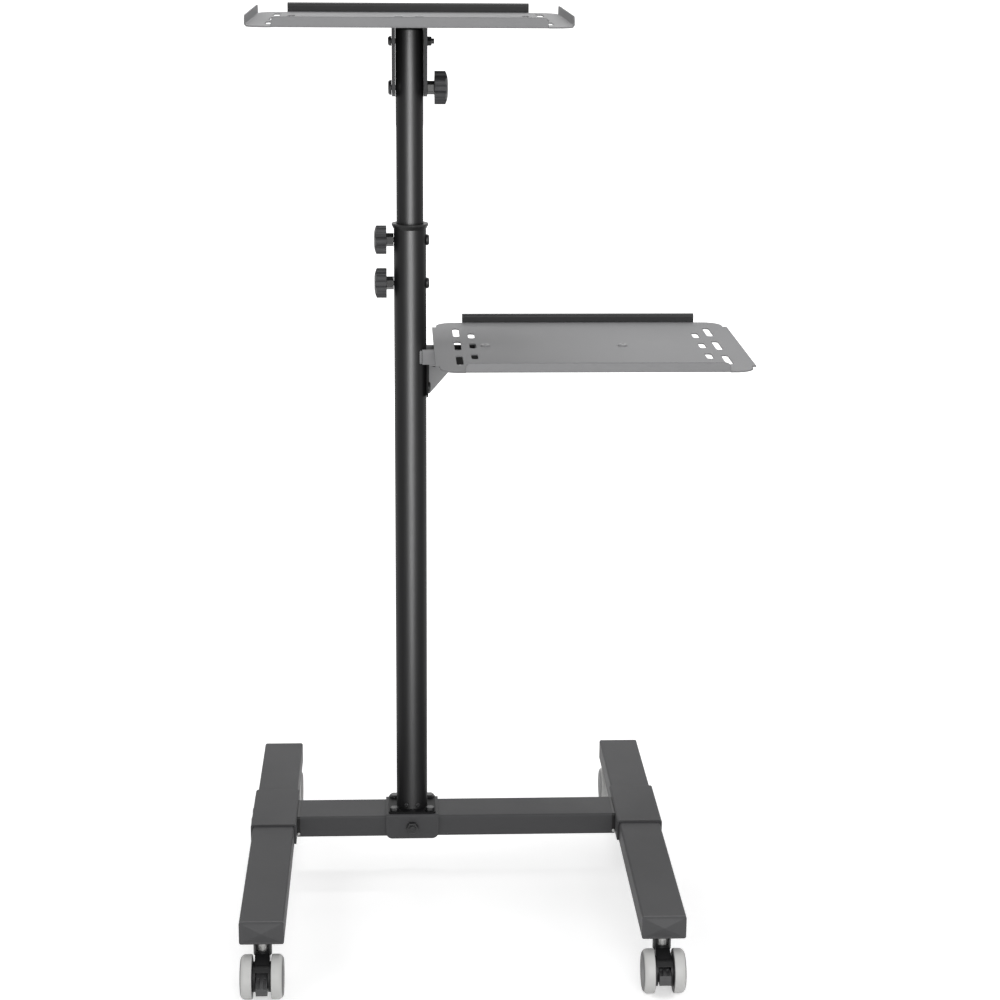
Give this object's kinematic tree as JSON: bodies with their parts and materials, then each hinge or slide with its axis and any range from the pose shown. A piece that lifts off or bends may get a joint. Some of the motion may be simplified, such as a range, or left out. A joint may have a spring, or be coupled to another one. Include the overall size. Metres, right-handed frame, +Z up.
{
  "type": "audio visual cart",
  "caption": "Wheeled audio visual cart: H-shaped base on twin-wheel casters, telescopic mast with clamp knobs, tilting top tray and a lower side tray, both with strap slots.",
  "frame": {"origin": "bottom centre of the bounding box, on the floor under the wheels", "axes": "+Z up, +X to the right as seen from the front, +Y away from the front"},
  "size_m": [0.5928, 0.596, 1.0677],
  "materials": {
    "base_paint": "satin powder coat, dark grey",
    "mast_gloss_black": "gloss black",
    "tray_paint": "fine-textured powder coat, mid grey",
    "bracket_paint": "satin powder coat, dark grey",
    "edging_black": "smooth black edging",
    "knob_plastic": "matte textured black",
    "bush_plastic": "matte black",
    "cap_plastic": "matte black",
    "zinc_steel": "zinc plated",
    "black_steel": "black oxide",
    "tray_screw_paint": "painted with the tray",
    "caster_black": "black nylon",
    "pedal_grey": "grey nylon",
    "wheel_grey": "light grey, satin"
  },
  "bodies": {
    "base": {"foot_left": "base_paint", "foot_right": "base_paint", "foot_cap_front_left": "cap_plastic", "foot_cap_rear_left": "cap_plastic", "foot_cap_front_right": "cap_plastic", "foot_cap_rear_right": "cap_plastic", "saddle_left": "base_paint", "saddle_right": "base_paint", "crossbar": "base_paint", "saddle_bolts": "black_steel", "centre_saddle": "base_paint", "centre_bolt": "black_steel", "mast_foot": "mast_gloss_black", "mast_foot_bolts": "black_steel", "tube_screws": "black_steel", "lower_tube": "mast_gloss_black", "tube_bush": "bush_plastic", "clamp_bolts": "black_steel", "shelf_arm": "tray_paint", "shelf_brace": "tray_paint", "brace_screws": "black_steel", "shelf_screws": "tray_screw_paint", "lower_tray": "tray_paint", "lower_tray_rail": "edging_black", "caster_front_left_stem": "zinc_steel", "caster_front_right_stem": "zinc_steel", "caster_rear_left_stem": "zinc_steel", "caster_rear_right_stem": "zinc_steel"},
    "mast": {"upper_tube": "mast_gloss_black", "upper_tube_plug": "bush_plastic", "tilt_bolt": "black_steel", "pivot_bolt": "black_steel"},
    "head": {"tilt_bracket": "bracket_paint", "top_tray": "tray_paint", "top_tray_rail": "edging_black", "top_tray_screws": "tray_screw_paint"},
    "clamp_knob_upper": {"clamp_knob_upper": "knob_plastic"},
    "clamp_knob_lower": {"clamp_knob_lower": "knob_plastic"},
    "tilt_knob": {"tilt_knob": "knob_plastic"},
    "caster_front_left_fork": {"caster_front_left_fork": "caster_black", "caster_front_left_axle": "zinc_steel"},
    "caster_front_left_wheel_left": {"caster_front_left_wheel_left": "wheel_grey"},
    "caster_front_left_wheel_right": {"caster_front_left_wheel_right": "wheel_grey"},
    "caster_front_left_pedal": {"caster_front_left_pedal": "pedal_grey"},
    "caster_front_right_fork": {"caster_front_right_fork": "caster_black", "caster_front_right_axle": "zinc_steel"},
    "caster_front_right_wheel_left": {"caster_front_right_wheel_left": "wheel_grey"},
    "caster_front_right_wheel_right": {"caster_front_right_wheel_right": "wheel_grey"},
    "caster_front_right_pedal": {"caster_front_right_pedal": "pedal_grey"},
    "caster_rear_left_fork": {"caster_rear_left_fork": "caster_black", "caster_rear_left_axle": "zinc_steel"},
    "caster_rear_left_wheel_left": {"caster_rear_left_wheel_left": "wheel_grey"},
    "caster_rear_left_wheel_right": {"caster_rear_left_wheel_right": "wheel_grey"},
    "caster_rear_right_fork": {"caster_rear_right_fork": "caster_black", "caster_rear_right_axle": "zinc_steel"},
    "caster_rear_right_wheel_left": {"caster_rear_right_wheel_left": "wheel_grey"},
    "caster_rear_right_wheel_right": {"caster_rear_right_wheel_right": "wheel_grey"}
  },
  "joints": [
    {"name": "mast_height", "type": "slide", "parent": "base", "child": "mast", "axis": [0, 0, 1], "range_m": [-0.13, 0.11]},
    {"name": "tray_tilt", "type": "hinge", "parent": "mast", "child": "head", "pos_m": [-0.0971, 0.049, 1.032], "axis": [1, 0, 0], "range_deg": [-15, 15]},
    {"name": "clamp_knob_upper_turn", "type": "hinge", "parent": "base", "child": "clamp_knob_upper", "pos_m": [-0.1164, 0.049, 0.804], "axis": [-1, 0, 0], "range_deg": [0, 360]},
    {"name": "clamp_knob_lower_turn", "type": "hinge", "parent": "base", "child": "clamp_knob_lower", "pos_m": [-0.1164, 0.049, 0.753], "axis": [-1, 0, 0], "range_deg": [0, 360]},
    {"name": "tilt_knob_turn", "type": "hinge", "parent": "mast", "child": "tilt_knob", "pos_m": [-0.0766, 0.049, 0.9795], "axis": [1, 0, 0], "range_deg": [0, 360]},
    {"name": "caster_front_left_swivel", "type": "hinge", "parent": "base", "child": "caster_front_left_fork", "pos_m": [-0.2671, -0.253, 0.057], "axis": [0, 0, 1], "continuous": true},
    {"name": "caster_front_left_wheel_left_roll", "type": "hinge", "parent": "caster_front_left_fork", "child": "caster_front_left_wheel_left", "pos_m": [-0.2671, -0.273, 0.025], "axis": [1, 0, 0], "continuous": true},
    {"name": "caster_front_left_wheel_right_roll", "type": "hinge", "parent": "caster_front_left_fork", "child": "caster_front_left_wheel_right", "pos_m": [-0.2671, -0.273, 0.025], "axis": [1, 0, 0], "continuous": true},
    {"name": "caster_front_left_pedal_press", "type": "hinge", "parent": "caster_front_left_fork", "child": "caster_front_left_pedal", "pos_m": [-0.2671, -0.273, 0.025], "axis": [1, 0, 0], "range_deg": [-22, 0]},
    {"name": "caster_front_right_swivel", "type": "hinge", "parent": "base", "child": "caster_front_right_fork", "pos_m": [0.1829, -0.253, 0.057], "axis": [0, 0, 1], "continuous": true},
    {"name": "caster_front_right_wheel_left_roll", "type": "hinge", "parent": "caster_front_right_fork", "child": "caster_front_right_wheel_left", "pos_m": [0.1829, -0.273, 0.025], "axis": [1, 0, 0], "continuous": true},
    {"name": "caster_front_right_wheel_right_roll", "type": "hinge", "parent": "caster_front_right_fork", "child": "caster_front_right_wheel_right", "pos_m": [0.1829, -0.273, 0.025], "axis": [1, 0, 0], "continuous": true},
    {"name": "caster_front_right_pedal_press", "type": "hinge", "parent": "caster_front_right_fork", "child": "caster_front_right_pedal", "pos_m": [0.1829, -0.273, 0.025], "axis": [1, 0, 0], "range_deg": [0, 22]},
    {"name": "caster_rear_left_swivel", "type": "hinge", "parent": "base", "child": "caster_rear_left_fork", "pos_m": [-0.2671, 0.253, 0.057], "axis": [0, 0, 1], "continuous": true},
    {"name": "caster_rear_left_wheel_left_roll", "type": "hinge", "parent": "caster_rear_left_fork", "child": "caster_rear_left_wheel_left", "pos_m": [-0.2671, 0.273, 0.025], "axis": [1, 0, 0], "continuous": true},
    {"name": "caster_rear_left_wheel_right_roll", "type": "hinge", "parent": "caster_rear_left_fork", "child": "caster_rear_left_wheel_right", "pos_m": [-0.2671, 0.273, 0.025], "axis": [1, 0, 0], "continuous": true},
    {"name": "caster_rear_right_swivel", "type": "hinge", "parent": "base", "child": "caster_rear_right_fork", "pos_m": [0.1829, 0.253, 0.057], "axis": [0, 0, 1], "continuous": true},
    {"name": "caster_rear_right_wheel_left_roll", "type": "hinge", "parent": "caster_rear_right_fork", "child": "caster_rear_right_wheel_left", "pos_m": [0.1829, 0.273, 0.025], "axis": [1, 0, 0], "continuous": true},
    {"name": "caster_rear_right_wheel_right_roll", "type": "hinge", "parent": "caster_rear_right_fork", "child": "caster_rear_right_wheel_right", "pos_m": [0.1829, 0.273, 0.025], "axis": [1, 0, 0], "continuous": true}
  ]
}
